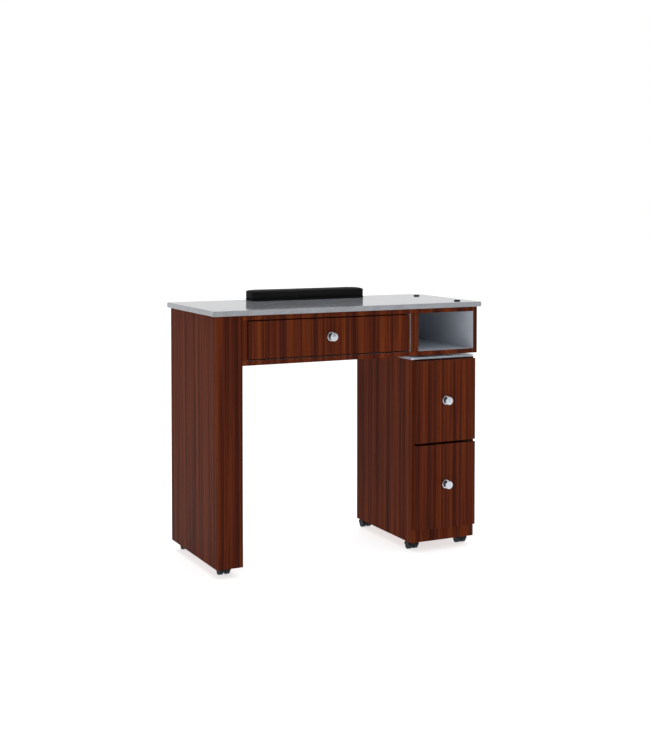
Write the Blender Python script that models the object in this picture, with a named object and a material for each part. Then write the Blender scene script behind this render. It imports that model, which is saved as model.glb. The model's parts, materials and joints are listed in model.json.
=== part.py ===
"""Manicure table: a stone-look top on a narrow hollow leg and a two-drawer pedestal, on twin-wheel casters.

Metres, +Z up. X runs along the width and is 0 in the middle of the top. The technician's side, with the
drawers, faces -Y. The floor is Z = 0. Y = 0 is the middle of the overall depth, drawer knobs included.
"""
import math

import bmesh
import bpy
from mathutils import Vector

# Overall size
TABLE_WIDTH = 0.9175
TABLE_DEPTH = 0.412
TABLE_HEIGHT = 0.787

# Stock
BOARD = 0.0145            # veneered board
DRAWER_BOARD = 0.012      # white board of the drawer boxes
DRAWER_BOTTOM = 0.004     # hardboard drawer bottom
GAP = 0.0003              # air left between two pieces that touch
EDGE = 0.0005             # chamfer of a board's banded edges
WELD = 1e-6               # points this close are one point
BEVEL_ANGLE = math.radians(50)
SHARP_ANGLE = math.radians(35)

# Top
TOP_THICKNESS = 0.0155
TOP_CORNER_RADIUS = 0.008
TOP_EASED_EDGE = 0.0012
OVERHANG_SIDE = 0.012
OVERHANG_FRONT = 0.012

# Carcass
FLOOR_CLEARANCE = 0.029   # floor to the lower edges of the boards
LEG_WIDTH = 0.083
CARCASS_DEPTH = 0.392
BOX_HEIGHT = 0.148        # upper box with the wide drawer and the open cubby
DRAWER_BAY_WIDTH = 0.551
CUBBY_WIDTH = 0.2015

# Pedestal
PEDESTAL_WIDTH = 0.2297
PEDESTAL_INSET = 0.0025    # from the upper box's right side
PEDESTAL_DEPTH = 0.3695
PEDESTAL_SETBACK = 0.0155
PEDESTAL_TOP_THICKNESS = 0.0067
PEDESTAL_TOP_EDGE = 0.0008
PEDESTAL_TOP_GAP = 0.0075     # shadow gap between the pedestal's pale top and the upper box
BASE_RAIL_HEIGHT = 0.045
RISER_WIDTH = 0.150
RISER_DEPTH = 0.200
RISER_SETBACK = 0.140

# Drawers
WIDE_FRONT_REVEAL_SIDE = 0.0045
WIDE_FRONT_REVEAL_HEIGHT = 0.0035
TALL_FRONT_THICKNESS = 0.0185
TALL_FRONT_PROUD = 0.006      # the pedestal's drawer fronts stand in front of the upper box
TALL_FRONT_INSET = 0.0067     # each side, from the pedestal's outer faces
TALL_FRONT_LOW = 0.0718
TALL_FRONT_SPLIT = 0.3427     # middle of the gap between the two fronts
TALL_FRONT_SPLIT_GAP = 0.0075
TALL_FRONT_TOP_GAP = 0.0030
DRAWER_BOX_LENGTH = 0.330
WIDE_BOX_HEIGHT = 0.088
TALL_BOX_HEIGHT = 0.205
BOX_LIFT = 0.016              # drawer box's lower edge above its front's lower edge
GROOVE_DEPTH = 0.004
GROOVE_LIFT = 0.010

# Drawer slides
SLIDE_SPACE = 0.0125          # room beside the drawer box for one slide
SLIDE_LENGTH = 0.320
SLIDE_HEIGHT = 0.035
SLIDE_SHEET = 0.0012
SLIDE_SET_BACK = 0.004
SLIDE_PLAY = 0.0006
SLIDE_LIFT = 0.030            # slide's middle above the drawer box's lower edge

# Knobs
KNOB_LENGTH = 0.0205
KNOB_RADIUS = 0.0130
ROSETTE_RADIUS = 0.0143
ROSETTE_THICKNESS = 0.0026
ROSETTE_SLOPE = 0.0020        # the rosette's rounded shoulder
NECK_RADIUS = 0.0052
HEAD_THICKNESS = 0.0080
HEAD_RIM = 0.0014             # rounding of the head's rims
HEAD_CROWN = 0.0006
HEAD_TAPER = 0.0020           # the head's back narrows towards the neck
TALL_KNOB_DROP = 0.128        # from a pedestal drawer front's upper edge

# Casters
WHEEL_RADIUS = 0.012
WHEEL_OUTER = 0.0180          # half the width over both wheels
WHEEL_INNER = 0.0040          # half the space between the wheels
WHEEL_ROUND = 0.0020
WHEEL_RIM = 0.0020            # flat rim around the dish in a wheel's outer face
WHEEL_DISH_SLOPE = 0.0010
WHEEL_DISH_DEPTH = 0.0012
AXLE_RADIUS = 0.0020
CASTER_TRAIL = 0.016
HOOD_RADIUS = 0.0152
HOOD_SKIRT_LIFT = 0.0010      # hood's lower edge above the axle
HOOD_POCKET_RADIUS = 0.0128
HOOD_WEB = 0.0037             # half the web's thickness
HOOD_HUB_RADIUS = 0.0070
BOSS_RADIUS = 0.0070
BOSS_HEIGHT = 0.0075
STEM_RADIUS = 0.0040
STEM_LENGTH = 0.012
LEG_CASTER_INSET = 0.038
PEDESTAL_CASTER_SETBACK = 0.028
PEDESTAL_CASTER_INSETS = {"left": 0.027, "right": 0.023}

# Armrest cushion
CUSHION_LENGTH = 0.402
CUSHION_DEPTH = 0.080
CUSHION_BASE = 0.006
CUSHION_PAD = 0.0247
CUSHION_BASE_INSET = 0.003
CUSHION_CORNER = 0.016
CUSHION_CORNER_STEPS = 6
CUSHION_TOP_ROUND = 0.009
CUSHION_SETBACK = 0.3078      # cushion's near face behind the carcass front
CUSHION_OFFSET = 0.003        # to +X, the cushion lies a little off the middle

# Hole plugs in the top
PLUG_RADIUS = 0.010
PLUG_HEAD = 0.0034
PLUG_ROUND = 0.0014           # rounding of the head's rim
PLUG_STEM_RADIUS = 0.007
PLUG_STEM = 0.008
PLUG_X = 0.3998
PLUG_SETBACKS = {"front": 0.045, "rear": 0.303}

# Planes that several pieces share
FRONT = (KNOB_LENGTH + TALL_FRONT_PROUD - (TABLE_DEPTH - OVERHANG_FRONT)) / 2
BACK = FRONT + CARCASS_DEPTH
LEFT = -TABLE_WIDTH / 2 + OVERHANG_SIDE
RIGHT = -LEFT
LEG_RIGHT = LEFT + LEG_WIDTH
TOP_UNDERSIDE = TABLE_HEIGHT - TOP_THICKNESS
CARCASS_TOP = TOP_UNDERSIDE - GAP
BOX_LOW = CARCASS_TOP - BOX_HEIGHT
BAY_LOW = BOX_LOW + BOARD
BAY_HIGH = CARCASS_TOP - BOARD
BAY_LEFT = LEG_RIGHT + GAP + BOARD
BAY_RIGHT = BAY_LEFT + DRAWER_BAY_WIDTH
CUBBY_RIGHT = RIGHT - BOARD
CUBBY_LEFT = CUBBY_RIGHT - CUBBY_WIDTH
PEDESTAL_RIGHT = RIGHT - PEDESTAL_INSET
PEDESTAL_LEFT = PEDESTAL_RIGHT - PEDESTAL_WIDTH
PEDESTAL_FRONT = FRONT + PEDESTAL_SETBACK
PEDESTAL_BACK = PEDESTAL_FRONT + PEDESTAL_DEPTH
PEDESTAL_TOP = BOX_LOW - PEDESTAL_TOP_GAP
PEDESTAL_SIDE_TOP = PEDESTAL_TOP - PEDESTAL_TOP_THICKNESS - GAP


# Materials

def make_material(name, colour, roughness, metallic=0.0):
    """A Principled material with one colour."""
    material = bpy.data.materials.new(name)
    material.use_nodes = True
    shader = material.node_tree.nodes["Principled BSDF"]
    shader.inputs["Base Color"].default_value = (*colour, 1.0)
    shader.inputs["Roughness"].default_value = roughness
    shader.inputs["Metallic"].default_value = metallic
    material.diffuse_color = (*colour, 1.0)
    return material


# Placing and shaping

def add_object(name, bm, material, origin, parent=None):
    """Turn bm, drawn around origin, into an object that stands at origin in the world."""
    bmesh.ops.recalc_face_normals(bm, faces=bm.faces)
    mesh = bpy.data.meshes.new(name)
    bm.to_mesh(mesh)
    bm.free()
    if material:
        mesh.materials.append(material)
    thing = bpy.data.objects.new(name, mesh)
    bpy.context.collection.objects.link(thing)
    place(thing, origin, parent)
    return thing


def place(thing, origin, parent=None):
    """Put an object at a world position, under an unrotated parent."""
    thing.parent = parent
    thing.location = Vector(origin) - (world_origin(parent) if parent else Vector())


def world_origin(thing):
    """World position of an object whose parents are not rotated."""
    origin = thing.location.copy()
    while thing.parent:
        thing = thing.parent
        origin += thing.location
    return origin


def add_empty(name, origin, parent=None):
    empty = bpy.data.objects.new(name, None)
    empty.empty_display_size = 0.02
    bpy.context.collection.objects.link(empty)
    place(empty, origin, parent)
    return empty


def add_bevel(thing, width, segments):
    bevel = thing.modifiers.new("edges", "BEVEL")
    bevel.width = width
    bevel.segments = segments
    bevel.limit_method = "ANGLE"
    bevel.angle_limit = BEVEL_ANGLE


def add_boolean(thing, other, operation):
    boolean = thing.modifiers.new(other.name, "BOOLEAN")
    boolean.operation = operation
    boolean.solver = "EXACT"
    boolean.object = other
    other.hide_render = True
    other.display_type = "WIRE"


def smooth(thing):
    thing.data.shade_smooth()
    thing.data.set_sharp_from_angle(angle=SHARP_ANGLE)


def box_mesh(size):
    """A box centred on its origin."""
    bm = bmesh.new()
    bmesh.ops.create_cube(bm, size=1.0)
    bmesh.ops.scale(bm, vec=size, verts=bm.verts)
    return bm


def add_board(name, low, high, material, parent=None, edge=EDGE):
    """A rectangular board between two world corners, with lightly chamfered edges."""
    low, high = Vector(low), Vector(high)
    board = add_object(name, box_mesh(high - low), material, (low + high) / 2, parent)
    if edge:
        add_bevel(board, edge, 1)
    return board


def add_cylinder(name, radius, length, material, origin, axis="Z", parent=None, segments=24):
    """A cylinder centred on its origin."""
    bm = bmesh.new()
    bmesh.ops.create_cone(bm, cap_ends=True, segments=segments, radius1=radius, radius2=radius, depth=length)
    cylinder = add_object(name, bm, material, origin, parent)
    turn_to_axis(cylinder, axis)
    return cylinder


def turn_to_axis(thing, axis):
    """Lay a shape drawn along +Z along another axis."""
    turns = {"X": (0, math.pi / 2, 0), "-Y": (math.pi / 2, 0, 0), "Z": (0, 0, 0)}
    thing.rotation_euler = turns[axis]


def add_turned(name, profile, material, origin, axis, parent=None, segments=24):
    """A solid of revolution. The profile is (radius, height) pairs from pole to pole."""
    bm = bmesh.new()
    verts = [bm.verts.new((radius, 0, height)) for radius, height in profile]
    edges = [bm.edges.new(pair) for pair in zip(verts, verts[1:])]
    bmesh.ops.spin(bm, geom=verts + edges, axis=(0, 0, 1), cent=(0, 0, 0),
                   steps=segments, angle=2 * math.pi, use_merge=True)
    bmesh.ops.remove_doubles(bm, verts=bm.verts, dist=WELD)
    turned = add_object(name, bm, material, origin, parent)
    turn_to_axis(turned, axis)
    smooth(turned)
    return turned


def arc(centre, radius, start, end, steps):
    """Points of a circular arc, angles in degrees."""
    angles = [math.radians(start + (end - start) * i / steps) for i in range(steps + 1)]
    return [(centre[0] + radius * math.cos(a), centre[1] + radius * math.sin(a)) for a in angles]


def rounded_rectangle(width, depth, radius, steps):
    """Outline of a rectangle with round corners, centred on the origin."""
    x, y = width / 2 - radius, depth / 2 - radius
    corners = [((x, y), 0), ((-x, y), 90), ((-x, -y), 180), ((x, -y), 270)]
    return [point for centre, start in corners for point in arc(centre, radius, start, start + 90, steps)]


def slab_mesh(outline, height):
    """An outline in XY, extruded upwards from 0."""
    bm = bmesh.new()
    face = bm.faces.new([bm.verts.new((x, y, 0)) for x, y in outline])
    raised = bmesh.ops.extrude_face_region(bm, geom=[face])["geom"]
    raised_verts = [v for v in raised if isinstance(v, bmesh.types.BMVert)]
    bmesh.ops.translate(bm, vec=(0, 0, height), verts=raised_verts)
    return bm


# Table top, its plugs and the armrest cushion

def build_top(stone, rubber):
    centre_y = FRONT - OVERHANG_FRONT + TABLE_DEPTH / 2
    outline = rounded_rectangle(TABLE_WIDTH, TABLE_DEPTH, TOP_CORNER_RADIUS, 4)
    top = add_object("table_top", slab_mesh(outline, TOP_THICKNESS), stone, (0, centre_y, TOP_UNDERSIDE))
    add_bevel(top, TOP_EASED_EDGE, 2)
    smooth(top)
    for side, setback in PLUG_SETBACKS.items():
        at = (PLUG_X, FRONT + setback, TABLE_HEIGHT)
        hole_depth = PLUG_STEM + GAP
        hole = add_cylinder(f"plug_hole_{side}", PLUG_STEM_RADIUS + GAP, 2 * hole_depth, None, at)
        add_boolean(top, hole, "DIFFERENCE")
        add_plug(side, at, rubber)


def add_plug(side, at, rubber):
    """A push-in cap: a flat rounded head over a short stem."""
    profile = [(0, -PLUG_STEM), (PLUG_STEM_RADIUS, -PLUG_STEM), (PLUG_STEM_RADIUS, GAP), (PLUG_RADIUS, GAP)]
    profile += arc((PLUG_RADIUS - PLUG_ROUND, PLUG_HEAD - PLUG_ROUND), PLUG_ROUND, 0, 90, 2)
    profile += [(0, PLUG_HEAD)]
    add_turned(f"hole_plug_{side}", profile, rubber, at, "Z")


def build_cushion(vinyl, base_black):
    centre_y = FRONT + CUSHION_SETBACK + CUSHION_DEPTH / 2
    base_low = TABLE_HEIGHT + GAP
    inset = 2 * CUSHION_BASE_INSET
    base_outline = rounded_rectangle(CUSHION_LENGTH - inset, CUSHION_DEPTH - inset,
                                     CUSHION_CORNER - CUSHION_BASE_INSET, CUSHION_CORNER_STEPS)
    add_object("cushion_base_board", slab_mesh(base_outline, CUSHION_BASE), base_black,
               (CUSHION_OFFSET, centre_y, base_low))
    pad_outline = rounded_rectangle(CUSHION_LENGTH, CUSHION_DEPTH, CUSHION_CORNER, CUSHION_CORNER_STEPS)
    bm = slab_mesh(pad_outline, CUSHION_PAD)
    rim = [e for e in bm.edges if all(v.co.z > CUSHION_PAD / 2 for v in e.verts)]
    bmesh.ops.bevel(bm, geom=rim, offset=CUSHION_TOP_ROUND, segments=3, profile=0.5, affect="EDGES")
    pad = add_object("armrest_cushion", bm, vinyl, (CUSHION_OFFSET, centre_y, base_low + CUSHION_BASE + GAP))
    smooth(pad)


# Leg

def build_leg(wood):
    """A hollow box: front and back boards over two side boards, with a bottom board for the casters."""
    inner_front, inner_back = FRONT + BOARD, BACK - BOARD
    side_low, side_high = inner_front + GAP, inner_back - GAP
    add_board("leg_front", (LEFT, FRONT, FLOOR_CLEARANCE), (LEG_RIGHT, inner_front, CARCASS_TOP), wood)
    add_board("leg_back", (LEFT, inner_back, FLOOR_CLEARANCE), (LEG_RIGHT, BACK, CARCASS_TOP), wood)
    add_board("leg_outer_side", (LEFT, side_low, FLOOR_CLEARANCE),
              (LEFT + BOARD, side_high, CARCASS_TOP), wood)
    add_board("leg_inner_side", (LEG_RIGHT - BOARD, side_low, FLOOR_CLEARANCE),
              (LEG_RIGHT, side_high, CARCASS_TOP), wood)
    return add_board("leg_bottom", (LEFT + BOARD + GAP, side_low, FLOOR_CLEARANCE),
                     (LEG_RIGHT - BOARD - GAP, side_high, FLOOR_CLEARANCE + BOARD), wood, edge=None)


# Upper box

def build_upper_box(wood):
    low_x = LEG_RIGHT + GAP
    inner_back = BACK - BOARD
    side_back = inner_back - GAP
    panel_right = CUBBY_RIGHT - GAP
    add_board("box_bottom", (low_x, FRONT, BOX_LOW), (panel_right, side_back, BAY_LOW), wood)
    add_board("box_top", (low_x, FRONT, BAY_HIGH), (panel_right, side_back, CARCASS_TOP), wood)
    add_board("box_right_side", (CUBBY_RIGHT, FRONT, BOX_LOW), (RIGHT, side_back, CARCASS_TOP), wood)
    add_board("box_back", (low_x, inner_back, BOX_LOW), (RIGHT, BACK, CARCASS_TOP), wood)
    uprights = {"bay_left_wall": (low_x, BAY_LEFT),
                "bay_right_wall": (BAY_RIGHT, CUBBY_LEFT - BOARD - GAP),
                "cubby_left_wall": (CUBBY_LEFT - BOARD, CUBBY_LEFT)}
    for name, (x_low, x_high) in uprights.items():
        add_board(name, (x_low, FRONT, BAY_LOW + GAP), (x_high, side_back, BAY_HIGH - GAP), wood)


# Pedestal

def build_pedestal(wood, laminate):
    left_inner, right_inner = PEDESTAL_LEFT + BOARD, PEDESTAL_RIGHT - BOARD
    inner_low, inner_high = left_inner + GAP, right_inner - GAP
    for name, x_low in (("pedestal_left_side", PEDESTAL_LEFT), ("pedestal_right_side", right_inner)):
        add_board(name, (x_low, PEDESTAL_FRONT, FLOOR_CLEARANCE),
                  (x_low + BOARD, PEDESTAL_BACK, PEDESTAL_SIDE_TOP), wood)
    add_board("pedestal_back", (inner_low, PEDESTAL_BACK - BOARD, FLOOR_CLEARANCE),
              (inner_high, PEDESTAL_BACK, PEDESTAL_SIDE_TOP), wood)
    add_board("pedestal_base_rail", (inner_low, PEDESTAL_FRONT, FLOOR_CLEARANCE),
              (inner_high, PEDESTAL_FRONT + BOARD, FLOOR_CLEARANCE + BASE_RAIL_HEIGHT), wood)
    add_board("pedestal_top", (PEDESTAL_LEFT, PEDESTAL_FRONT, PEDESTAL_TOP - PEDESTAL_TOP_THICKNESS),
              (PEDESTAL_RIGHT, PEDESTAL_BACK, PEDESTAL_TOP), laminate, edge=PEDESTAL_TOP_EDGE)
    middle = (PEDESTAL_LEFT + PEDESTAL_RIGHT) / 2
    riser_front = FRONT + RISER_SETBACK
    add_board("pedestal_riser", (middle - RISER_WIDTH / 2, riser_front, PEDESTAL_TOP + GAP),
              (middle + RISER_WIDTH / 2, riser_front + RISER_DEPTH, BOX_LOW - GAP), wood, edge=None)
    return add_board("pedestal_bottom", (inner_low, PEDESTAL_FRONT + BOARD + GAP, FLOOR_CLEARANCE),
                     (inner_high, PEDESTAL_BACK - BOARD - GAP, FLOOR_CLEARANCE + BOARD), wood, edge=None)


# Drawers

def add_drawer_box(name, low, high, white, hardboard, parent):
    """Four walls with a groove near the bottom, and the hardboard bottom that sits in it."""
    low, high = Vector(low), Vector(high)
    middle = (low + high) / 2
    size = high - low
    walls = add_object(f"{name}_walls", box_mesh(size), white, middle, parent)
    inside = Vector((size.x - 2 * DRAWER_BOARD, size.y - 2 * DRAWER_BOARD, 3 * size.z))
    add_boolean(walls, add_object(f"{name}_inside", box_mesh(inside), None, middle, parent), "DIFFERENCE")
    groove_z = low.z + GROOVE_LIFT
    groove = Vector((inside.x + 2 * GROOVE_DEPTH, inside.y + 2 * GROOVE_DEPTH, DRAWER_BOTTOM + 2 * GAP))
    at = (middle.x, middle.y, groove_z)
    add_boolean(walls, add_object(f"{name}_groove", box_mesh(groove), None, at, parent), "DIFFERENCE")
    panel = groove - Vector((2 * GAP, 2 * GAP, 2 * GAP))
    add_object(f"{name}_bottom", box_mesh(panel), hardboard, at, parent)


def slide_member(name, outline, length, steel, origin, parent=None):
    """A rolled channel: an outline in XZ, extruded along +Y."""
    bm = bmesh.new()
    face = bm.faces.new([bm.verts.new((x, 0, z)) for x, z in outline])
    far = bmesh.ops.extrude_face_region(bm, geom=[face])["geom"]
    bmesh.ops.translate(bm, vec=(0, length, 0), verts=[v for v in far if isinstance(v, bmesh.types.BMVert)])
    return add_object(name, bm, steel, origin, parent)


def channel(depth, height, sheet, side):
    """C outline with its web on x = 0 and its flanges towards side * x."""
    half = height / 2
    corners = [(0, -half), (depth, -half), (depth, sheet - half), (sheet, sheet - half),
               (sheet, half - sheet), (depth, half - sheet), (depth, half), (0, half)]
    return [(side * x, z) for x, z in corners]


def add_slides(name, left, right, y, z, steel, parent):
    """A pair of slides: the outer channel on each cabinet wall, the inner one on the drawer box."""
    outer_depth = SLIDE_SPACE - GAP - SLIDE_SHEET - GAP
    inner_height = SLIDE_HEIGHT - 2 * (SLIDE_SHEET + SLIDE_PLAY)
    inner_depth = SLIDE_SPACE - 2 * GAP - SLIDE_SHEET - SLIDE_PLAY
    for side, wall, sign in (("left", left, 1), ("right", right, -1)):
        outer = channel(outer_depth, SLIDE_HEIGHT, SLIDE_SHEET, sign)
        slide_member(f"{name}_rail_{side}", outer, SLIDE_LENGTH, steel, (wall + sign * GAP, y, z))
        inner = channel(inner_depth, inner_height, SLIDE_SHEET, -sign)
        inner_x = wall + sign * (SLIDE_SPACE - GAP)
        slide_member(f"{name}_runner_{side}", inner, SLIDE_LENGTH, steel, (inner_x, y, z), parent)


def add_knob(name, at, chrome, parent):
    """A round cabinet knob: rosette with a rounded shoulder, narrow neck and a broad, nearly flat head."""
    head_low = KNOB_LENGTH - HEAD_THICKNESS
    rim_centre = KNOB_RADIUS - HEAD_RIM
    shoulder_centre = (ROSETTE_RADIUS - ROSETTE_SLOPE, ROSETTE_THICKNESS - ROSETTE_SLOPE)
    profile = [(0, GAP), (ROSETTE_RADIUS, GAP)]
    profile += arc(shoulder_centre, ROSETTE_SLOPE, 0, 90, 3)
    profile += [(NECK_RADIUS, ROSETTE_THICKNESS), (NECK_RADIUS, head_low)]
    profile += [(rim_centre, head_low + HEAD_TAPER)]
    profile += arc((rim_centre, KNOB_LENGTH - HEAD_CROWN - HEAD_RIM), HEAD_RIM, 0, 80, 3)
    profile += [(0, KNOB_LENGTH)]
    add_turned(name, profile, chrome, at, "-Y", parent, segments=32)


def build_wide_drawer(mats):
    """The drawer in the upper box: its front is set in flush with the box."""
    middle = (BAY_LEFT + BAY_RIGHT) / 2
    low, high = BAY_LOW + WIDE_FRONT_REVEAL_HEIGHT, BAY_HIGH - WIDE_FRONT_REVEAL_HEIGHT
    slide = add_empty("wide_drawer_slide", (middle, FRONT, (low + high) / 2))
    half = DRAWER_BAY_WIDTH / 2 - WIDE_FRONT_REVEAL_SIDE
    add_board("wide_drawer_front", (middle - half, FRONT, low), (middle + half, FRONT + BOARD, high),
              mats["wood"], slide)
    add_knob("wide_drawer_knob", (middle, FRONT, (low + high) / 2), mats["chrome"], slide)
    box_low, box_front = low + BOX_LIFT, FRONT + BOARD + GAP
    add_drawer_box("wide_drawer", (BAY_LEFT + SLIDE_SPACE, box_front, box_low),
                   (BAY_RIGHT - SLIDE_SPACE, box_front + DRAWER_BOX_LENGTH, box_low + WIDE_BOX_HEIGHT),
                   mats["white"], mats["hardboard"], slide)
    add_slides("wide_drawer", BAY_LEFT, BAY_RIGHT, box_front + SLIDE_SET_BACK, box_low + SLIDE_LIFT,
               mats["steel"], slide)


def build_tall_drawer(name, low, high, mats):
    """A deep pedestal drawer: its front lies over the pedestal's front edges."""
    inner_left, inner_right = PEDESTAL_LEFT + BOARD, PEDESTAL_RIGHT - BOARD
    middle = (inner_left + inner_right) / 2
    face = FRONT - TALL_FRONT_PROUD
    slide = add_empty(f"{name}_slide", (middle, face, (low + high) / 2))
    front_back = face + TALL_FRONT_THICKNESS
    add_board(f"{name}_front", (PEDESTAL_LEFT + TALL_FRONT_INSET, face, low),
              (PEDESTAL_RIGHT - TALL_FRONT_INSET, front_back, high), mats["wood"], slide)
    add_knob(f"{name}_knob", (middle, face, high - TALL_KNOB_DROP), mats["chrome"], slide)
    box_low, box_front = low + BOX_LIFT, front_back + GAP
    add_drawer_box(name, (inner_left + SLIDE_SPACE, box_front, box_low),
                   (inner_right - SLIDE_SPACE, box_front + DRAWER_BOX_LENGTH, box_low + TALL_BOX_HEIGHT),
                   mats["white"], mats["hardboard"], slide)
    rail_front = PEDESTAL_FRONT + SLIDE_SET_BACK
    add_slides(name, inner_left, inner_right, rail_front, box_low + SLIDE_LIFT, mats["steel"], slide)


def build_drawers(mats):
    build_wide_drawer(mats)
    split_low = TALL_FRONT_SPLIT - TALL_FRONT_SPLIT_GAP / 2
    split_high = TALL_FRONT_SPLIT + TALL_FRONT_SPLIT_GAP / 2
    top = PEDESTAL_TOP - PEDESTAL_TOP_THICKNESS - TALL_FRONT_TOP_GAP
    build_tall_drawer("lower_drawer", TALL_FRONT_LOW, split_low, mats)
    build_tall_drawer("upper_drawer", split_high, top, mats)


# Casters

def add_caster(name, x, y, board, plastic, tread):
    """A twin-wheel stem caster whose stem turns in a hole in the board above it. The wheels trail to +Y."""
    at = (x, y, FLOOR_CLEARANCE)
    hole = add_cylinder(f"{name}_hole", STEM_RADIUS + GAP, 3 * BOARD, None, at)
    add_boolean(board, hole, "DIFFERENCE")
    add_hood(name, at, plastic)
    wheel_centre = (x, y + CASTER_TRAIL, WHEEL_RADIUS)
    add_wheels(f"{name}_wheels", wheel_centre, tread, bpy.data.objects[f"{name}_hood"])


def add_hood(name, at, plastic):
    """Half a drum over the wheels, with a pocket for each, a web that holds the axle, a boss and a stem."""
    x, y, z = at
    axle = (x, y + CASTER_TRAIL, WHEEL_RADIUS)
    width = 2 * WHEEL_OUTER + 2 * GAP
    drum = add_cylinder(f"{name}_drum", HOOD_RADIUS, width, None, axle, "X")
    lower_half = add_object(f"{name}_lower", box_mesh((2 * width, 4 * HOOD_RADIUS, 2 * HOOD_RADIUS)), None,
                            (axle[0], axle[1], axle[2] + HOOD_SKIRT_LIFT - HOOD_RADIUS))
    add_boolean(drum, lower_half, "DIFFERENCE")
    pocket_width = width / 2
    for side, sign in (("left", -1), ("right", 1)):
        pocket_x = axle[0] + sign * (HOOD_WEB + pocket_width / 2)
        pocket = add_cylinder(f"{name}_pocket_{side}", HOOD_POCKET_RADIUS, pocket_width, None,
                              (pocket_x, axle[1], axle[2]), "X")
        add_boolean(drum, pocket, "DIFFERENCE")
    drum.hide_render = True
    drum.display_type = "WIRE"
    hub = add_cylinder(f"{name}_hub", HOOD_HUB_RADIUS, 2 * HOOD_WEB, None, axle, "X", segments=20)
    boss_high = z - GAP
    boss = add_cylinder(f"{name}_boss", BOSS_RADIUS, BOSS_HEIGHT, None, (x, y, boss_high - BOSS_HEIGHT / 2))
    bore = add_cylinder(f"{name}_bore", AXLE_RADIUS + GAP, 4 * HOOD_WEB, None, axle, "X", segments=16)
    stem_low = boss_high - BOSS_HEIGHT / 2
    stem_high = z + STEM_LENGTH
    bm = bmesh.new()
    bmesh.ops.create_cone(bm, cap_ends=True, segments=20, radius1=STEM_RADIUS, radius2=STEM_RADIUS,
                          depth=stem_high - stem_low)
    bmesh.ops.translate(bm, vec=(0, 0, (stem_high + stem_low) / 2 - z), verts=bm.verts)
    hood = add_object(f"{name}_hood", bm, plastic, at)
    for piece in (boss, drum, hub):
        add_boolean(hood, piece, "UNION")
    add_boolean(hood, bore, "DIFFERENCE")
    smooth(hood)


def add_wheels(name, centre, tread, hood):
    """Two wheels and the axle between them, turned as one piece."""
    r = WHEEL_RADIUS - WHEEL_ROUND
    outer = arc((r, WHEEL_OUTER - WHEEL_ROUND), WHEEL_ROUND, 90, 0, 2)
    dish_floor = WHEEL_OUTER - WHEEL_DISH_DEPTH
    dish = [(0, dish_floor), (r - WHEEL_RIM - WHEEL_DISH_SLOPE, dish_floor), (r - WHEEL_RIM, WHEEL_OUTER)]
    half = dish + outer + [(WHEEL_RADIUS, WHEEL_INNER), (AXLE_RADIUS, WHEEL_INNER)]
    profile = half + [(radius, -height) for radius, height in reversed(half)]
    add_turned(name, profile, tread, centre, "X", hood)


def build_casters(leg_bottom, pedestal_bottom, plastic, tread):
    leg_x = (LEFT + LEG_RIGHT) / 2
    add_caster("leg_caster_front", leg_x, FRONT + LEG_CASTER_INSET, leg_bottom, plastic, tread)
    add_caster("leg_caster_rear", leg_x, BACK - LEG_CASTER_INSET, leg_bottom, plastic, tread)
    columns = {"left": PEDESTAL_LEFT + PEDESTAL_CASTER_INSETS["left"],
               "right": PEDESTAL_RIGHT - PEDESTAL_CASTER_INSETS["right"]}
    rows = {"front": PEDESTAL_FRONT + PEDESTAL_CASTER_SETBACK,
            "rear": PEDESTAL_BACK - PEDESTAL_CASTER_SETBACK}
    for row, y in rows.items():
        for column, x in columns.items():
            add_caster(f"pedestal_caster_{row}_{column}", x, y, pedestal_bottom, plastic, tread)


def main():
    for thing in list(bpy.data.objects):
        bpy.data.objects.remove(thing, do_unlink=True)
    mats = {
        "wood": make_material("reddish_wood", (0.098, 0.022, 0.009), 0.40),
        "stone": make_material("grey_stone", (0.36, 0.37, 0.39), 0.12),
        "laminate": make_material("pale_grey_laminate", (0.55, 0.60, 0.66), 0.30),
        "white": make_material("white_drawer_board", (0.62, 0.62, 0.60), 0.45),
        "hardboard": make_material("drawer_bottom_board", (0.55, 0.54, 0.51), 0.50),
        "steel": make_material("zinc_plated_steel", (0.60, 0.61, 0.62), 0.32, 1.0),
        "chrome": make_material("satin_chrome", (0.78, 0.79, 0.81), 0.16, 1.0),
        "plastic": make_material("black_plastic", (0.012, 0.014, 0.018), 0.45),
        "tread": make_material("dark_wheel_plastic", (0.020, 0.024, 0.031), 0.50),
        "vinyl": make_material("black_vinyl", (0.010, 0.010, 0.010), 0.42),
        "base_black": make_material("black_base_board", (0.008, 0.008, 0.008), 0.60),
        "rubber": make_material("black_rubber", (0.006, 0.006, 0.007), 0.50),
    }
    build_top(mats["stone"], mats["rubber"])
    build_cushion(mats["vinyl"], mats["base_black"])
    leg_bottom = build_leg(mats["wood"])
    build_upper_box(mats["wood"])
    pedestal_bottom = build_pedestal(mats["wood"], mats["laminate"])
    build_drawers(mats)
    build_casters(leg_bottom, pedestal_bottom, mats["plastic"], mats["tread"])


main()
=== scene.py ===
import json
import math

import bmesh
import bpy
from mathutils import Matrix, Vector
from mathutils.bvhtree import BVHTree


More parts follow.
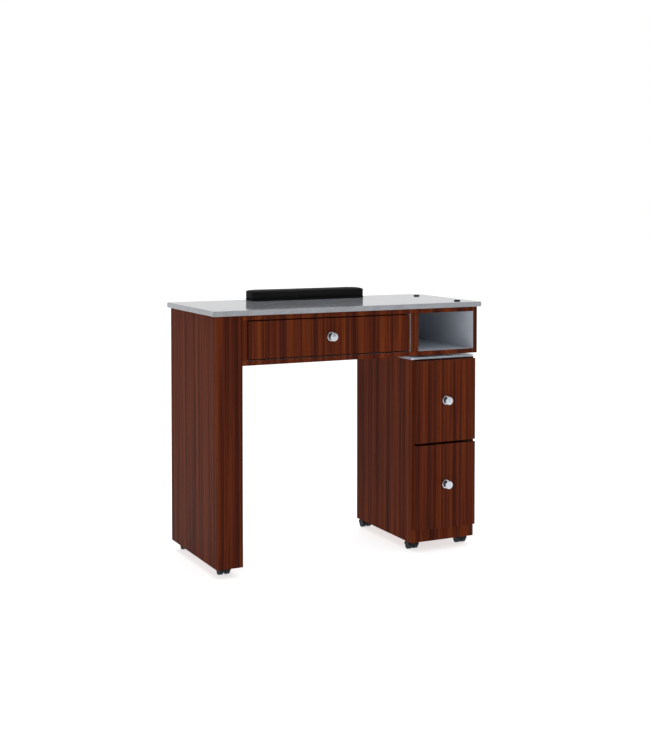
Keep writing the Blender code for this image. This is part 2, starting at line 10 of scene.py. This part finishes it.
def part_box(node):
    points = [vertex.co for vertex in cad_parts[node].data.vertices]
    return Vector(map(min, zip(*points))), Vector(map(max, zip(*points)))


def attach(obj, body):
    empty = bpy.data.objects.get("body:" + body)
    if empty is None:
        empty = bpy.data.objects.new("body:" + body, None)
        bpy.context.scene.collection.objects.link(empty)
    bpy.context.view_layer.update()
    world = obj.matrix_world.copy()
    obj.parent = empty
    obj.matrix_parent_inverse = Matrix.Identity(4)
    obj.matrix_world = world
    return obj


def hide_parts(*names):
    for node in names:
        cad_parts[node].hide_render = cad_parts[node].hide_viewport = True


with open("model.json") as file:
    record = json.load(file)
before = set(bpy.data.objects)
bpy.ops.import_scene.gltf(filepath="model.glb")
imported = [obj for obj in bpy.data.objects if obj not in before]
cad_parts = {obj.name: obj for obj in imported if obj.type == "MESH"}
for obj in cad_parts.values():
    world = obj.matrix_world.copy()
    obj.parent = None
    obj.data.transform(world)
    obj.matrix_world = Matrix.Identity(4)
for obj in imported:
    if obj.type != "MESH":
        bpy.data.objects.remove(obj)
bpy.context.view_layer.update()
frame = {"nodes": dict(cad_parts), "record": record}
nodes = frame["nodes"]

# Camera
CAMERA_PLACE = (-1.79005, -3.63625, 1.0843)
CAMERA_AZIMUTH = math.radians(-26.236)
CAMERA_PITCH = math.radians(2.05)
CAMERA_LENS = 61.35
CAMERA_SHIFT = (-0.0022, -0.1611)

# Studio
BACKDROP_LIGHT = 0.86         # the white backdrop, behind the object and to its right
BACKDROP_SIDE = (0.80, 0.60, 0.0)
BACKDROP_FADE = (0.10, 0.80)  # from the room to the full backdrop, as the cosine to BACKDROP_SIDE
ROOM_LIGHT = 0.33             # the dimmer rest of the room
FLOOR_COLOUR = (0.90, 0.90, 0.90)
FLOOR_GLOW = 0.66             # a floor lit as brightly as a studio's white sweep
SOFTBOX_PLACE = (0.0, 0.2, 3.2)
SOFTBOX_SIZE = 3.4
SOFTBOX_POWER = 42.0
SIDE_LIGHT_PLACE = (-2.8, -2.6, 2.2)
SIDE_LIGHT_SIZE = 1.8
SIDE_LIGHT_POWER = 9.0
LIGHTS_LOOK_AT = (0.0, 0.0, 0.4)
FLOOR_SIZE = 60.0
FLOOR_ROUGHNESS = 0.8

# Cushion
PAD_INSET = 0.0012            # the pad starts smaller than its space, and swells into it
PAD_CORNER = 0.0150
PAD_END_INSET = 0.0002        # each end stays this far inside the space kept for the pad
PAD_TOP_ROUND = 0.0030
PAD_CORNER_STEPS = 6
PAD_TOP_STEPS = 3
PAD_CROWN = 0.0022            # the cover's crown stands this proud of the plain solid
PAD_VOXEL = 0.0030
PAD_PRESSURE = 2.0
PAD_FRAMES = 20
PAD_SWELL = 0.0016
PAD_PINNED = 0.0030           # this much of the pad's foot is held by the base board
WELT_RADIUS = 0.0011
WELT_DROP = 0.0066            # welt's middle below the pad's crown
WELT_POINTS = 160
WELT_END_PULL = 1.6           # how soon the welt's rays start to fan out towards the ends
WRAP_OUTER_INSET = 0.0003     # the cover's turned-down edge, from the pad's outline
WRAP_INNER_INSET = 0.0012
WRAP_TUCK = 0.0005            # the edge leans in by this much at its foot
WRAP_LIFT = 0.0003            # and stops this far above the board's foot
WRAP_CORNER_STEPS = 6

# Colours, linear
WOOD_DARK = (0.049, 0.0118, 0.0076)
WOOD_MID = (0.110, 0.0215, 0.0086)
WOOD_LIGHT = (0.172, 0.0375, 0.0105)
LINING = (0.60, 0.635, 0.69)
LAMINATE = (0.78, 0.84, 0.92)
LAMINATE_END_SHADE = (0.15, 0.17, 0.20)    # painted shade: the slab's two end faces are coloured darker than its top
STONE_DARK = (0.215, 0.225, 0.25)
STONE_LIGHT = (0.435, 0.45, 0.475)
STONE_FLECK = (0.08, 0.085, 0.095)
ZINC_DARK = (0.50, 0.51, 0.53)
ZINC_LIGHT = (0.66, 0.67, 0.68)
CHROME = (0.52, 0.545, 0.59)
VINYL_DARK = (0.0120, 0.0120, 0.0123)
VINYL_LIGHT = (0.0230, 0.0230, 0.0234)
LINING_TONES = (0.92, 1.06)   # the speckle's darkest and lightest, times the lining's colour
LAMINATE_TONES = (0.94, 1.04)

# Finishes. A wood feature has its noise scale, and the share of that scale that is left along the grain.
GRAIN_WANDER = 0.008          # metres that the grain sways sideways
BANDS, BANDS_RUN = 46.0, 0.012
STREAKS, STREAKS_RUN = 240.0, 0.004
LINES, LINES_RUN = 420.0, 0.002
PORES, PORES_RUN = 1500.0, 0.035
VENEER_STEP = (0.37, 0.61, 0.23)      # from one veneer's place in the pattern to the next
SATIN_IOR = 1.055             # low, so that the wood hardly mirrors the white room
VINYL_IOR = 1.08
FACING = 0.85                 # a face looks in a direction when this much of its normal does
RING_PITCH = 9000.0           # turning rings around a knob's axis, in radians a metre


# Node helpers

def new_material(name):
    material = bpy.data.materials.new(name)
    material.use_nodes = True
    return material, material.node_tree, material.node_tree.nodes["Principled BSDF"]


def fill(tree, node, inputs):
    """Set a node's inputs: a socket is linked, anything else is a value."""
    for key, value in inputs.items():
        if isinstance(value, bpy.types.NodeSocket):
            tree.links.new(value, node.inputs[key])
        else:
            node.inputs[key].default_value = value
    return node


def add(tree, kind, inputs, **settings):
    node = tree.nodes.new(kind)
    for key, value in settings.items():
        setattr(node, key, value)
    return fill(tree, node, inputs)


def rest_place(tree):
    """A point's place on the object at rest, in metres. It moves with the piece."""
    return tree.nodes.new("ShaderNodeTexCoord").outputs["Object"]


def stretched(tree, place, scale, offset=(0, 0, 0)):
    return add(tree, "ShaderNodeMapping", {"Vector": place, "Location": offset, "Scale": scale}).outputs[0]


def noise(tree, vector, scale, detail=2.0, roughness=0.5):
    made = add(tree, "ShaderNodeTexNoise", {"Vector": vector, "Scale": scale, "Detail": detail,
                                            "Roughness": roughness})
    return made.outputs["Fac"]


def math_node(tree, operation, a, b):
    return add(tree, "ShaderNodeMath", {0: a, 1: b}, operation=operation).outputs[0]


def ramp(tree, value, stops):
    """A colour ramp. Stops are (position, colour)."""
    made = add(tree, "ShaderNodeValToRGB", {"Fac": value})
    elements = made.color_ramp.elements
    elements[0].position, elements[0].color = stops[0][0], (*stops[0][1], 1)
    elements[1].position, elements[1].color = stops[-1][0], (*stops[-1][1], 1)
    for position, colour in stops[1:-1]:
        elements.new(position).color = (*colour, 1)
    return made.outputs["Color"]


def spread(tree, value, low, high, to_low, to_high):
    made = add(tree, "ShaderNodeMapRange", {"Value": value, "From Min": low, "From Max": high,
                                            "To Min": to_low, "To Max": to_high})
    return made.outputs[0]


def mix_colour(tree, factor, a, b):
    made = tree.nodes.new("ShaderNodeMix")
    made.data_type = "RGBA"
    sockets = {"Factor": made.inputs[0], "A": made.inputs[6], "B": made.inputs[7]}
    for key, value in (("Factor", factor), ("A", a), ("B", b)):
        if isinstance(value, bpy.types.NodeSocket):
            tree.links.new(value, sockets[key])
        else:
            sockets[key].default_value = value if key == "Factor" else (*value, 1)
    return made.outputs[2]


def bump(tree, height, distance, strength=1.0):
    return add(tree, "ShaderNodeBump", {"Height": height, "Distance": distance,
                                        "Strength": strength}).outputs["Normal"]


# Materials

GRAIN_AXIS = {"X": (1, 0, 0), "Y": (0, 1, 0), "Z": (0, 0, 1)}


def along_grain(tree, place, grain, run, offset):
    """A place whose pattern is drawn out along the grain. The smaller run is, the longer its features."""
    scale = [run if along else 1.0 for along in GRAIN_AXIS[grain]]
    return stretched(tree, place, scale, offset)


def average(tree, a, b):
    return math_node(tree, "MULTIPLY", math_node(tree, "ADD", a, b), 0.5)


def toned(tree, value, colour, tones):
    """A colour that varies between two shades of itself."""
    return mix_colour(tree, value, *[[tone * c for c in colour] for tone in tones])


def lining_mask(tree, directions):
    """1 on the faces that look in one of these directions, 0 elsewhere."""
    normal = tree.nodes.new("ShaderNodeTexCoord").outputs["Normal"]
    mask = None
    for direction in directions:
        dot = add(tree, "ShaderNodeVectorMath", {0: normal, 1: direction}, operation="DOT_PRODUCT")
        facing = math_node(tree, "GREATER_THAN", dot.outputs["Value"], FACING)
        mask = facing if mask is None else math_node(tree, "MAXIMUM", mask, facing)
    return mask


def wood(name, grain, seed, lined=()):
    """Reddish veneer: broad bands and fine streaks along the grain, with open pores."""
    material, tree, shader = new_material(name)
    place = rest_place(tree)
    offset = [step * seed for step in VENEER_STEP]
    wander = add(tree, "ShaderNodeTexNoise", {"Vector": stretched(tree, place, (1, 1, 1), offset),
                                              "Scale": 2.2, "Detail": 2.0}).outputs["Color"]
    swayed = add(tree, "ShaderNodeVectorMath", {0: wander, 1: (GRAIN_WANDER,) * 3, 2: place},
                 operation="MULTIPLY_ADD").outputs["Vector"]
    bands = noise(tree, along_grain(tree, swayed, grain, BANDS_RUN, offset), BANDS, 3.0, 0.55)
    streaks = noise(tree, along_grain(tree, swayed, grain, STREAKS_RUN, offset), STREAKS, 5.0, 0.62)
    lines = noise(tree, along_grain(tree, swayed, grain, LINES_RUN, offset), LINES, 2.0)
    pores = noise(tree, along_grain(tree, place, grain, PORES_RUN, offset), PORES, 1.0)
    colour = ramp(tree, average(tree, bands, streaks),
                  [(0.41, WOOD_DARK), (0.495, WOOD_MID), (0.59, WOOD_LIGHT)])
    colour = mix_colour(tree, spread(tree, lines, 0.54, 0.64, 0.0, 0.75), colour, WOOD_DARK)
    open_pores = spread(tree, pores, 0.60, 0.72, 0.0, 0.45)
    colour = mix_colour(tree, open_pores, colour, WOOD_DARK)
    roughness = spread(tree, streaks, 0.35, 0.65, 0.46, 0.34)
    if lined:
        mask = lining_mask(tree, lined)
        speckle = noise(tree, place, 900.0, 2.0)
        colour = mix_colour(tree, mask, colour, toned(tree, speckle, LINING, LINING_TONES))
    height = math_node(tree, "SUBTRACT", streaks, math_node(tree, "MULTIPLY", open_pores, 0.8))
    fill(tree, shader, {"Base Color": colour, "Roughness": roughness, "IOR": SATIN_IOR,
                        "Normal": bump(tree, height, 0.00012, 0.6)})
    return material


def stone():
    """Polished stone-look slab: faintly cloudy grey with fine dark and light grains."""
    material, tree, shader = new_material("grey_stone")
    place = rest_place(tree)
    clouds = noise(tree, place, 26.0, 6.0, 0.72)
    grains = noise(tree, place, 620.0, 3.0, 0.7)
    figure = math_node(tree, "ADD", math_node(tree, "MULTIPLY", clouds, 0.4),
                       math_node(tree, "MULTIPLY", grains, 0.6))
    colour = ramp(tree, figure, [(0.32, STONE_DARK), (0.68, STONE_LIGHT)])
    flecks = add(tree, "ShaderNodeTexVoronoi", {"Vector": place, "Scale": 420.0}).outputs["Distance"]
    colour = mix_colour(tree, spread(tree, flecks, 0.05, 0.16, 0.35, 0.0), colour, STONE_FLECK)
    fill(tree, shader, {"Base Color": colour, "IOR": 1.50,
                        "Roughness": spread(tree, clouds, 0.35, 0.65, 0.05, 0.10)})
    return material


def laminate():
    """The pedestal's thin pale top: satin laminate, with painted shade on its two end faces."""
    material, tree, shader = new_material("pale_grey_laminate")
    place = rest_place(tree)
    fine = noise(tree, place, 1100.0, 3.0, 0.6)
    soft = noise(tree, place, 18.0, 3.0)
    colour = toned(tree, fine, LAMINATE, LAMINATE_TONES)
    # the faces that look along X, the slab's ends, get the darker colour: painted shade
    colour = mix_colour(tree, lining_mask(tree, [(1, 0, 0), (-1, 0, 0)]), colour, LAMINATE_END_SHADE)
    fill(tree, shader, {"Base Color": colour, "Roughness": spread(tree, soft, 0.3, 0.7, 0.22, 0.32),
                        "Normal": bump(tree, fine, 0.00005, 0.5)})
    return material


def board(name, light, dark, scale, roughness):
    """Melamine or hardboard: an even colour with a fine pressed texture."""
    material, tree, shader = new_material(name)
    place = rest_place(tree)
    fine = noise(tree, place, scale, 4.0, 0.6)
    soft = noise(tree, place, 9.0, 3.0)
    colour = ramp(tree, average(tree, fine, soft), [(0.38, dark), (0.60, light)])
    fill(tree, shader, {"Base Color": colour, "Roughness": spread(tree, soft, 0.3, 0.7, *roughness),
                        "Normal": bump(tree, fine, 0.00008, 0.6)})
    return material


def zinc():
    """Rolled steel: fine lines along the slide and faint plating clouds."""
    material, tree, shader = new_material("zinc_plated_steel")
    place = rest_place(tree)
    lines = noise(tree, stretched(tree, place, (1, 0.01, 1)), 1800.0, 3.0, 0.6)
    clouds = noise(tree, place, 60.0, 4.0)
    colour = ramp(tree, clouds, [(0.35, ZINC_DARK), (0.65, ZINC_LIGHT)])
    fill(tree, shader, {"Base Color": colour, "Metallic": 1.0,
                        "Roughness": spread(tree, lines, 0.3, 0.7, 0.26, 0.42),
                        "Normal": bump(tree, lines, 0.00003, 0.6)})
    return material


def turned_chrome(name, centre):
    """Satin plating with the faint rings that turning leaves around the knob's axis."""
    material, tree, shader = new_material(name)
    place = stretched(tree, rest_place(tree), (1, 0, 1), (-centre.x, 0, -centre.z))
    radius = add(tree, "ShaderNodeVectorMath", {0: place}, operation="LENGTH").outputs["Value"]
    rings = math_node(tree, "SINE", math_node(tree, "MULTIPLY", radius, RING_PITCH), 0.0)
    smudge = noise(tree, rest_place(tree), 220.0, 3.0)
    fill(tree, shader, {"Base Color": (*CHROME, 1), "Metallic": 1.0,
                        "Roughness": spread(tree, smudge, 0.3, 0.7, 0.12, 0.20),
                        "Normal": bump(tree, rings, 0.000004, 0.5)})
    return material


def moulded(name, colour, dust, roughness, grain, ior=1.33):
    """Moulded plastic or rubber with a fine spark-eroded texture and a little settled dust."""
    material, tree, shader = new_material(name)
    place = rest_place(tree)
    fine = noise(tree, place, grain, 3.0, 0.6)
    soft = noise(tree, place, 45.0, 4.0)
    tint = mix_colour(tree, spread(tree, soft, 0.45, 0.75, 0.0, 0.5), colour, dust)
    fill(tree, shader, {"Base Color": tint, "IOR": ior,
                        "Roughness": spread(tree, soft, 0.3, 0.7, *roughness),
                        "Normal": bump(tree, fine, 0.00006, 0.7)})
    return material


def vinyl(name):
    """Fine leather-grain vinyl: pebbles with creases between them, and painted shade in the creases."""
    material, tree, shader = new_material(name)
    place = rest_place(tree)
    wander = add(tree, "ShaderNodeTexNoise", {"Vector": place, "Scale": 300.0}).outputs["Color"]
    swayed = add(tree, "ShaderNodeVectorMath", {0: wander, 1: (0.0008, 0.0008, 0.0008), 2: place},
                 operation="MULTIPLY_ADD").outputs["Vector"]
    creases = add(tree, "ShaderNodeTexVoronoi", {"Vector": swayed, "Scale": 850.0},
                  feature="DISTANCE_TO_EDGE").outputs["Distance"]
    pebbles = spread(tree, creases, 0.0, 0.18, 0.0, 1.0)
    soft = noise(tree, place, 35.0, 3.0)
    # the creases take the darker colour as well as the bump: painted shade in them
    colour = ramp(tree, average(tree, pebbles, soft), [(0.25, VINYL_DARK), (0.75, VINYL_LIGHT)])
    fill(tree, shader, {"Base Color": colour, "IOR": VINYL_IOR,
                        "Roughness": spread(tree, soft, 0.3, 0.7, 0.46, 0.58),
                        "Normal": bump(tree, pebbles, 0.00012, 0.6)})
    return material


# Which finish each CAD node gets. SAME_VENEER pieces are cut from their twin's sheet, and LINED pieces are
# covered in pale laminate on the faces that look these ways.

GRAIN_ALONG_X = ("pedestal_riser",)
GRAIN_ALONG_Y = ("leg_bottom", "pedestal_bottom")
SAME_VENEER = {"lower_drawer_front": "upper_drawer_front", "pedestal_base_rail": "upper_drawer_front",
               "box_top": "wide_drawer_front", "box_bottom": "wide_drawer_front"}
LINED = {
    "box_bottom": [(0, 0, 1), (0, 0, -1)],
    "box_top": [(0, 0, -1)],
    "box_back": [(0, -1, 0)],
    "box_right_side": [(-1, 0, 0)],
    "bay_left_wall": [(1, 0, 0)],
    "bay_right_wall": [(-1, 0, 0)],
    "cubby_left_wall": [(1, 0, 0)],
    "pedestal_left_side": [(1, 0, 0)],
    "pedestal_right_side": [(-1, 0, 0)],
    "pedestal_back": [(0, -1, 0)],
    "pedestal_bottom": [(0, 0, 1)],
    "pedestal_riser": [(1, 0, 0), (-1, 0, 0), (0, 1, 0), (0, -1, 0)],
    "wide_drawer_front": [(0, 1, 0)],
    "upper_drawer_front": [(0, 1, 0)],
    "lower_drawer_front": [(0, 1, 0)],
}


def grain_of(name):
    if name in GRAIN_ALONG_X:
        return "X"
    return "Y" if name in GRAIN_ALONG_Y else "Z"


def finish_nodes():
    """Give every CAD node its material. Returns the cushion's vinyl."""
    slots = {row["node"]: row["material_slot"] for row in frame["record"]["subparts"]}
    shared = {
        "grey_stone": stone(),
        "pale_grey_laminate": laminate(),
        "white_drawer_board": board("white_drawer_board", (0.66, 0.66, 0.64), (0.58, 0.58, 0.56),
                                    700.0, (0.40, 0.52)),
        "drawer_bottom_board": board("drawer_bottom_board", (0.58, 0.57, 0.54), (0.48, 0.47, 0.44),
                                     1300.0, (0.48, 0.60)),
        "zinc_plated_steel": zinc(),
        "black_plastic": moulded("black_plastic", (0.010, 0.013, 0.018), (0.030, 0.034, 0.040),
                                 (0.38, 0.52), 1400.0),
        "dark_wheel_plastic": moulded("dark_wheel_plastic", (0.017, 0.021, 0.028),
                                      (0.050, 0.052, 0.056), (0.45, 0.62), 1100.0),
        "black_base_board": moulded("black_base_board", (0.007, 0.007, 0.007), (0.016, 0.016, 0.016),
                                    (0.55, 0.68), 600.0),
        "black_rubber": moulded("black_rubber", (0.005, 0.005, 0.006), (0.014, 0.014, 0.015),
                                (0.60, 0.75), 900.0, ior=1.10),
        "black_vinyl": vinyl("black_vinyl"),
    }
    seeds = {name: seed for seed, name in enumerate(sorted(nodes), start=1)}
    for name in sorted(nodes):
        slot = slots[name]
        if slot == "reddish_wood":
            seed = seeds[SAME_VENEER.get(name, name)]
            material = wood(f"veneer_{name}", grain_of(name), seed, LINED.get(name, ()))
        elif slot == "satin_chrome":
            low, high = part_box(name)
            material = turned_chrome(f"chrome_{name}", (low + high) / 2)
        else:
            material = shared[slot]
        nodes[name].data.materials.clear()
        nodes[name].data.materials.append(material)
    return shared["black_vinyl"]


# Objects

def in_scene(name, data):
    thing = bpy.data.objects.new(name, data)
    bpy.context.scene.collection.objects.link(thing)
    return thing


def from_bmesh(bm, name):
    """The mesh made so far, as an object in the scene."""
    mesh = bpy.data.meshes.new(name)
    bm.to_mesh(mesh)
    bm.free()
    return in_scene(name, mesh)


# Armrest cushion

def pad_start(low, high):
    """The pad before it swells: a slab with round corners and a rounded top rim."""
    size, centre = high - low, (low + high) / 2
    bm = bmesh.new()
    bmesh.ops.create_cube(bm, size=1.0)
    inner = (size.x - 2 * PAD_INSET, size.y - 2 * PAD_INSET, size.z - PAD_INSET)
    bmesh.ops.scale(bm, vec=inner, verts=bm.verts)
    upright = [e for e in bm.edges if abs(e.verts[0].co.z - e.verts[1].co.z) > inner[2] / 2]
    bmesh.ops.bevel(bm, geom=upright, offset=PAD_CORNER, segments=PAD_CORNER_STEPS, profile=0.5,
                     affect="EDGES")
    rim = [e for e in bm.edges if all(v.co.z > inner[2] / 4 for v in e.verts)]
    bmesh.ops.bevel(bm, geom=rim, offset=PAD_TOP_ROUND, segments=PAD_TOP_STEPS, profile=0.5,
                     affect="EDGES")
    bmesh.ops.translate(bm, vec=(centre.x, centre.y, low.z + inner[2] / 2), verts=bm.verts)
    return from_bmesh(bm, "cushion_pad")


def apply_modifiers(thing):
    """Keep the mesh that the modifiers make, and take them off."""
    bpy.context.view_layer.update()
    evaluated = thing.evaluated_get(bpy.context.evaluated_depsgraph_get())
    mesh = bpy.data.meshes.new_from_object(evaluated)
    thing.modifiers.clear()
    thing.data = mesh


def swell(pad, low):
    """Blow the cover up a little with a cloth simulation, its foot held by the base board."""
    before = [v.co.copy() for v in pad.data.vertices]
    held = pad.vertex_groups.new(name="held")
    held.add([v.index for v in pad.data.vertices if v.co.z < low.z + PAD_PINNED], 1.0, "REPLACE")
    cloth = pad.modifiers.new("cloth", "CLOTH")
    settings = cloth.settings
    settings.use_pressure = True
    settings.uniform_pressure_force = PAD_PRESSURE
    settings.effector_weights.gravity = 0.0
    settings.vertex_group_mass = "held"
    cloth.point_cache.frame_start = 1
    cloth.point_cache.frame_end = PAD_FRAMES
    for number in range(1, PAD_FRAMES + 1):
        bpy.context.scene.frame_set(number)
    apply_modifiers(pad)
    for vertex, start in zip(pad.data.vertices, before):
        move = vertex.co - start
        if move.length > PAD_SWELL:
            vertex.co = start + move.normalized() * PAD_SWELL


def fit_to_space(pad, low, high):
    """Scale the pad so that it fills exactly the space that the frame keeps for it."""
    points = [v.co.copy() for v in pad.data.vertices]
    for axis in range(3):
        least, most = min(p[axis] for p in points), max(p[axis] for p in points)
        scale = (high[axis] - low[axis]) / (most - least)
        for vertex, point in zip(pad.data.vertices, points):
            vertex.co[axis] = low[axis] + (point[axis] - least) * scale


def add_welt(pad, low, high, material):
    """The piped seam between the cover's top panel and its sides, laid on the pad's surface."""
    tree = BVHTree.FromObject(pad, bpy.context.evaluated_depsgraph_get())
    centre = (low + high) / 2
    level = high.z - WELT_DROP
    reach = (high.x - low.x) / 2 - (high.y - low.y) / 2
    curve = bpy.data.curves.new("cushion_welt", "CURVE")
    curve.dimensions = "3D"
    curve.bevel_depth = WELT_RADIUS
    curve.bevel_resolution = 3
    points = []
    for step in range(WELT_POINTS):
        angle = 2 * math.pi * step / WELT_POINTS
        out = Vector((math.cos(angle), math.sin(angle), 0))
        # the rays start from a line along the pad, so that they meet its long sides evenly
        anchor = Vector((centre.x + max(-1, min(1, WELT_END_PULL * out.x)) * reach, centre.y, level))
        hit = tree.ray_cast(anchor + out * (high.x - low.x), -out)[0]
        if hit is not None:
            points.append(hit)
    spline = curve.splines.new("POLY")
    spline.points.add(len(points) - 1)
    for point, place in zip(spline.points, points):
        point.co = (*place, 1)
    spline.use_cyclic_u = True
    welt = in_scene("cushion_welt", curve)
    curve.materials.append(material)
    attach(welt, "table")


def rounded_outline(low, high, inset, radius):
    """Points of a rectangle with round corners, inset from a box's outline, counter-clockwise."""
    points = []
    corners = (((high.x, high.y), (-1, -1), 0), ((low.x, high.y), (1, -1), 90),
               ((low.x, low.y), (1, 1), 180), ((high.x, low.y), (-1, 1), 270))
    for (x, y), (inward_x, inward_y), start in corners:
        for step in range(WRAP_CORNER_STEPS + 1):
            angle = math.radians(start + 90 * step / WRAP_CORNER_STEPS)
            points.append((x + inward_x * (inset + radius) + radius * math.cos(angle),
                           y + inward_y * (inset + radius) + radius * math.sin(angle)))
    return points


def add_wrap(low, high, material):
    """The cover's edge, carried down around the base board."""
    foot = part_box("cushion_base_board")[0].z + WRAP_LIFT
    inner_radius = PAD_CORNER - WRAP_INNER_INSET
    loops = ((WRAP_OUTER_INSET + WRAP_TUCK, PAD_CORNER, foot), (WRAP_OUTER_INSET, PAD_CORNER, low.z),
             (WRAP_INNER_INSET, inner_radius, low.z), (WRAP_INNER_INSET, inner_radius, foot))
    bm = bmesh.new()
    rings = [[bm.verts.new((x, y, z)) for x, y in rounded_outline(low, high, inset, radius)]
             for inset, radius, z in loops]
    for ring, following in zip(rings, rings[1:] + rings[:1]):
        for index in range(len(ring)):
            after = (index + 1) % len(ring)
            bm.faces.new((ring[index], ring[after], following[after], following[index]))
    bmesh.ops.recalc_face_normals(bm, faces=bm.faces)
    wrap = from_bmesh(bm, "cushion_cover_wrap")
    wrap.data.materials.append(material)
    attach(wrap, "table")


def build_cushion(material):
    """The soft cushion that stands for the frame's plain solid."""
    low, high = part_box("armrest_cushion")
    low.x += PAD_END_INSET
    high.x -= PAD_END_INSET
    high.z += PAD_CROWN
    pad = pad_start(low, high)
    remesh = pad.modifiers.new("remesh", "REMESH")
    remesh.mode = "VOXEL"
    remesh.voxel_size = PAD_VOXEL
    apply_modifiers(pad)
    swell(pad, low)
    fit_to_space(pad, low, high)
    pad.data.materials.clear()
    pad.data.materials.append(material)
    pad.data.shade_smooth()
    add_welt(pad, low, high, material)
    add_wrap(low, high, material)
    subdivision = pad.modifiers.new("subdivision", "SUBSURF")
    subdivision.levels = subdivision.render_levels = 1
    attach(pad, "table")
    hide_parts("armrest_cushion")


# Studio and camera

def build_camera():
    data = bpy.data.cameras.new("camera")
    data.lens = CAMERA_LENS
    data.shift_x, data.shift_y = CAMERA_SHIFT
    camera = in_scene("camera", data)
    camera.location = CAMERA_PLACE
    camera.rotation_euler = (math.pi / 2 - CAMERA_PITCH, 0, CAMERA_AZIMUTH)
    bpy.context.scene.camera = camera


def add_softbox(name, place, size, power):
    """A square lamp at place that looks at the middle of the table."""
    data = bpy.data.lights.new(name, "AREA")
    data.size = size
    data.energy = power
    lamp = in_scene(name, data)
    lamp.location = place
    lamp.rotation_euler = (Vector(LIGHTS_LOOK_AT) - Vector(place)).to_track_quat("-Z", "Y").to_euler()


def build_world():
    """A white backdrop on one side and a dimmer room on the other. The view itself sees white."""
    world = bpy.data.worlds.new("studio")
    bpy.context.scene.world = world
    world.use_nodes = True
    tree = world.node_tree
    direction = tree.nodes.new("ShaderNodeTexCoord").outputs["Generated"]
    towards = add(tree, "ShaderNodeVectorMath", {0: direction, 1: BACKDROP_SIDE}, operation="DOT_PRODUCT")
    light = spread(tree, towards.outputs["Value"], *BACKDROP_FADE, ROOM_LIGHT, BACKDROP_LIGHT)
    seen = tree.nodes.new("ShaderNodeLightPath").outputs["Is Camera Ray"]
    strength = math_node(tree, "MAXIMUM", light, seen)
    fill(tree, tree.nodes["Background"], {"Color": (1, 1, 1, 1), "Strength": strength})


def build_stage():
    """The white studio: world, floor and two lamps."""
    build_world()
    bpy.ops.mesh.primitive_plane_add(size=FLOOR_SIZE, location=(0, 0, 0))
    floor = bpy.context.object
    floor.name = "floor"
    material, tree, shader = new_material("floor_paper")
    fill(tree, shader, {"Base Color": (*FLOOR_COLOUR, 1), "Roughness": FLOOR_ROUGHNESS,
                        "Emission Color": (1, 1, 1, 1), "Emission Strength": FLOOR_GLOW})
    floor.data.materials.append(material)
    add_softbox("softbox", SOFTBOX_PLACE, SOFTBOX_SIZE, SOFTBOX_POWER)
    add_softbox("side_light", SIDE_LIGHT_PLACE, SIDE_LIGHT_SIZE, SIDE_LIGHT_POWER)


bpy.context.scene.view_settings.view_transform = "Standard"
build_camera()
build_stage()
vinyl_cover = finish_nodes()
build_cushion(vinyl_cover)
